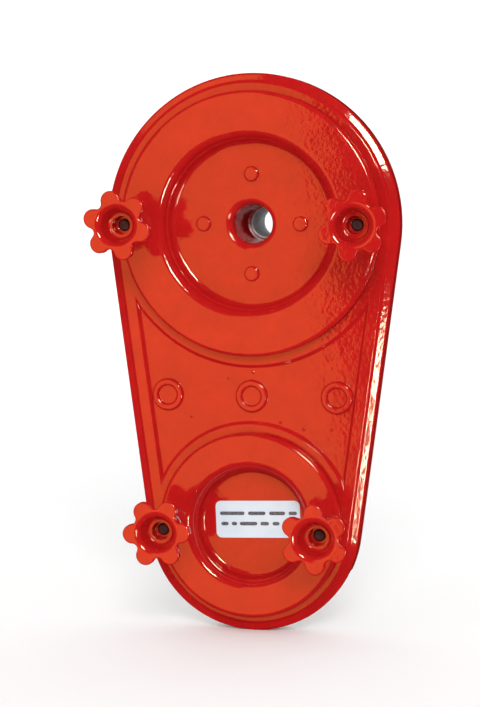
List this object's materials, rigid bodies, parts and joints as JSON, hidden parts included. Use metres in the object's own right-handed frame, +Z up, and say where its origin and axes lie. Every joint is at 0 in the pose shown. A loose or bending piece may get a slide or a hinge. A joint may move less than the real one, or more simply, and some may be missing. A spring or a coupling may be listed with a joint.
{
  "type": "flue inspection cover",
  "caption": "Teardrop pressed-steel cover with two round dished lids held by lobed clamp knobs; closes a flue's access openings and has a sleeved sampling port.",
  "frame": {"origin": "on the axis of the upper opening, in the mounting plane at the back of the gasket, midway between the two upper studs", "axes": "+Z up along the cover's length, -Y out of its front face towards the user, +X to the user's right; +Y goes into the duct"},
  "size_m": [0.1479, 0.097, 0.2763],
  "materials": {
    "red_enamel": "gloss enamel with a light orange peel",
    "zinc_plated_steel": "zinc plated",
    "bare_steel": "oiled thread",
    "fibre_board": "matte fibre",
    "label_stock": "satin"
  },
  "bodies": {
    "frame": {"frame_plate": "red_enamel", "mounting_gasket": "fibre_board", "stud_lock_nuts": "zinc_plated_steel", "stud_back_nuts": "zinc_plated_steel", "stud_upper_left": "bare_steel", "stud_upper_right": "bare_steel", "stud_lower_left": "bare_steel", "stud_lower_right": "bare_steel"},
    "upper_lid": {"upper_lid": "red_enamel", "upper_lid_seal": "fibre_board", "port_socket": "red_enamel", "port_sleeve": "zinc_plated_steel", "port_rivets": "red_enamel"},
    "lower_lid": {"lower_lid": "red_enamel", "lower_lid_seal": "fibre_board", "label": "label_stock"},
    "washer_upper_left": {"knob_washer_upper_left": "zinc_plated_steel"},
    "knob_upper_left": {"knob_upper_left": "red_enamel", "knob_insert_upper_left": "red_enamel"},
    "washer_upper_right": {"knob_washer_upper_right": "zinc_plated_steel"},
    "knob_upper_right": {"knob_upper_right": "red_enamel", "knob_insert_upper_right": "red_enamel"},
    "washer_lower_left": {"knob_washer_lower_left": "zinc_plated_steel"},
    "knob_lower_left": {"knob_lower_left": "red_enamel", "knob_insert_lower_left": "red_enamel"},
    "washer_lower_right": {"knob_washer_lower_right": "zinc_plated_steel"},
    "knob_lower_right": {"knob_lower_right": "red_enamel", "knob_insert_lower_right": "red_enamel"}
  },
  "joints": [
    {"name": "upper_lid_lift", "type": "slide", "parent": "frame", "child": "upper_lid", "axis": [0, -1, 0], "range_m": [0, 0.0054]},
    {"name": "lower_lid_lift", "type": "slide", "parent": "frame", "child": "lower_lid", "axis": [0, -1, 0], "range_m": [0, 0.0054]},
    {"name": "knob_travel_upper_left", "type": "slide", "parent": "frame", "child": "washer_upper_left", "axis": [0, -1, 0], "range_m": [-0.0054, 0.005]},
    {"name": "knob_turn_upper_left", "type": "hinge", "parent": "washer_upper_left", "child": "knob_upper_left", "pos_m": [-0.0575, -0.0253, 0], "axis": [0, -1, 0], "range_deg": [-1940, 1790]},
    {"name": "knob_travel_upper_right", "type": "slide", "parent": "frame", "child": "washer_upper_right", "axis": [0, -1, 0], "range_m": [-0.0054, 0.005]},
    {"name": "knob_turn_upper_right", "type": "hinge", "parent": "washer_upper_right", "child": "knob_upper_right", "pos_m": [0.0575, -0.0253, 0], "axis": [0, -1, 0], "range_deg": [-1940, 1790]},
    {"name": "knob_travel_lower_left", "type": "slide", "parent": "frame", "child": "washer_lower_left", "axis": [0, -1, 0], "range_m": [-0.0054, 0.005]},
    {"name": "knob_turn_lower_left", "type": "hinge", "parent": "washer_lower_left", "child": "knob_lower_left", "pos_m": [-0.039, -0.0253, -0.1489], "axis": [0, -1, 0], "range_deg": [-1940, 1790]},
    {"name": "knob_travel_lower_right", "type": "slide", "parent": "frame", "child": "washer_lower_right", "axis": [0, -1, 0], "range_m": [-0.0054, 0.005]},
    {"name": "knob_turn_lower_right", "type": "hinge", "parent": "washer_lower_right", "child": "knob_lower_right", "pos_m": [0.039, -0.0253, -0.1489], "axis": [0, -1, 0], "range_deg": [-1940, 1790]}
  ],
  "couplings": [
    {"joint": "knob_travel_upper_left", "follows": "knob_turn_upper_left", "m_per_rad": 0.00015915},
    {"joint": "knob_travel_upper_right", "follows": "knob_turn_upper_right", "m_per_rad": 0.00015915},
    {"joint": "knob_travel_lower_left", "follows": "knob_turn_lower_left", "m_per_rad": 0.00015915},
    {"joint": "knob_travel_lower_right", "follows": "knob_turn_lower_right", "m_per_rad": 0.00015915}
  ]
}
